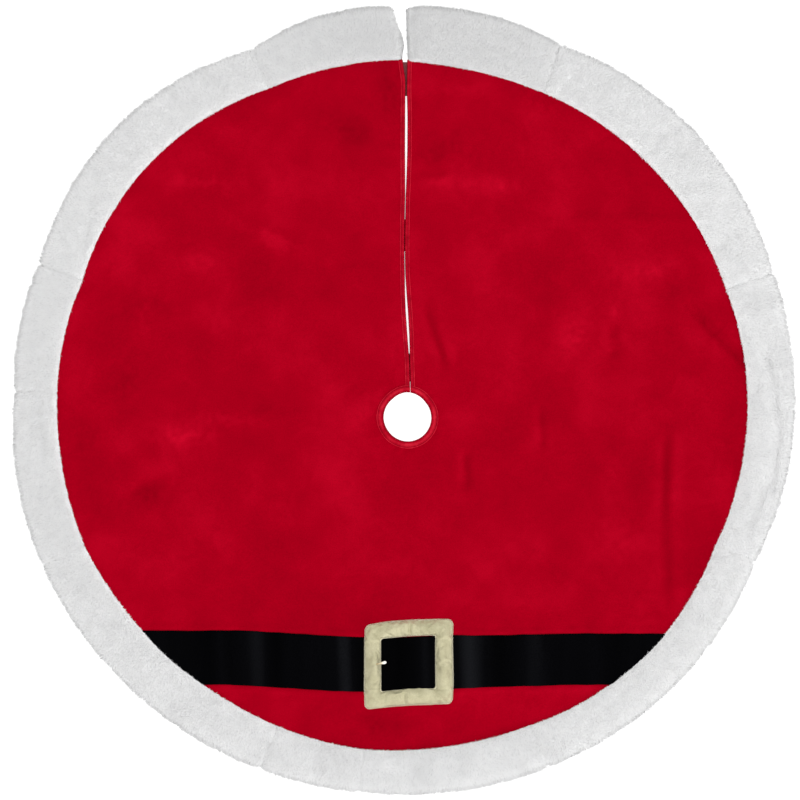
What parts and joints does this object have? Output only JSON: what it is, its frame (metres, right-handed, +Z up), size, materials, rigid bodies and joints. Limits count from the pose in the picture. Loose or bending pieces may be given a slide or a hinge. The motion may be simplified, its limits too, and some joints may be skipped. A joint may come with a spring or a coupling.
{
  "type": "tree skirt",
  "caption": "Round red velvet tree skirt laid flat, white plush border, black belt with padded gold buckle, slit from trunk hole to rim with hook-and-loop closures and two flaps that fold back.",
  "frame": {"origin": "centre of the trunk hole, at floor level", "axes": "+Z up along the trunk, +Y towards the slit (the back), -Y towards the belt buckle (the front), +X to the right seen from above"},
  "size_m": [1.2148, 1.2235, 0.0161],
  "materials": {
    "red_velvet": "short crushed pile, soft sheen",
    "red_satin_binding": "folded tape, faint sheen, topstitched",
    "white_plush": "dense short fur",
    "white_lining": "plain woven lining, matte",
    "black_velvet": "short black pile",
    "gold_lame": "pale gold woven metallic cloth, puckered",
    "white_foam": "soft padding",
    "red_hook_tape": "stiff hooks on tape",
    "red_loop_tape": "fuzzy loops on tape",
    "maroon_webbing": "woven tape"
  },
  "bodies": {
    "main_skirt": {"lining_main": "white_lining", "velvet_main": "red_velvet", "neck_binding_main": "red_satin_binding", "fur_trim_1": "white_plush", "fur_trim_2": "white_plush", "fur_trim_3": "white_plush", "fur_trim_4": "white_plush", "fur_trim_5": "white_plush", "fur_trim_6": "white_plush", "fur_trim_7": "white_plush", "fur_trim_8": "white_plush", "fur_trim_9": "white_plush", "belt_strap": "black_velvet", "buckle_padding": "white_foam", "buckle_cover": "gold_lame", "buckle_tongue": "gold_lame"},
    "right_flap": {"lining_right": "white_lining", "velvet_right": "red_velvet", "neck_binding_right": "red_satin_binding", "slit_binding_right": "red_satin_binding", "fur_trim_right": "white_plush", "hook_tape_rim": "red_hook_tape", "hook_tape_middle": "red_hook_tape", "hook_tape_neck": "red_hook_tape"},
    "left_flap": {"lining_left": "white_lining", "velvet_left": "red_velvet", "neck_binding_left": "red_satin_binding", "slit_binding_left": "red_satin_binding", "fur_trim_left": "white_plush", "closure_tab_rim": "maroon_webbing", "closure_tab_middle": "maroon_webbing", "closure_tab_neck": "maroon_webbing", "loop_tape_rim": "red_loop_tape", "loop_tape_middle": "red_loop_tape", "loop_tape_neck": "red_loop_tape"}
  },
  "joints": [
    {"name": "right_flap_fold", "type": "hinge", "parent": "main_skirt", "child": "right_flap", "pos_m": [0.03114, -0.01091, 0.02], "axis": [0.3307, 0.9437, 0], "range_deg": [0, 175]},
    {"name": "left_flap_fold", "type": "hinge", "parent": "main_skirt", "child": "left_flap", "pos_m": [-0.0311, -0.01104, 0.02], "axis": [0.3346, -0.9423, 0], "range_deg": [0, 175]}
  ]
}
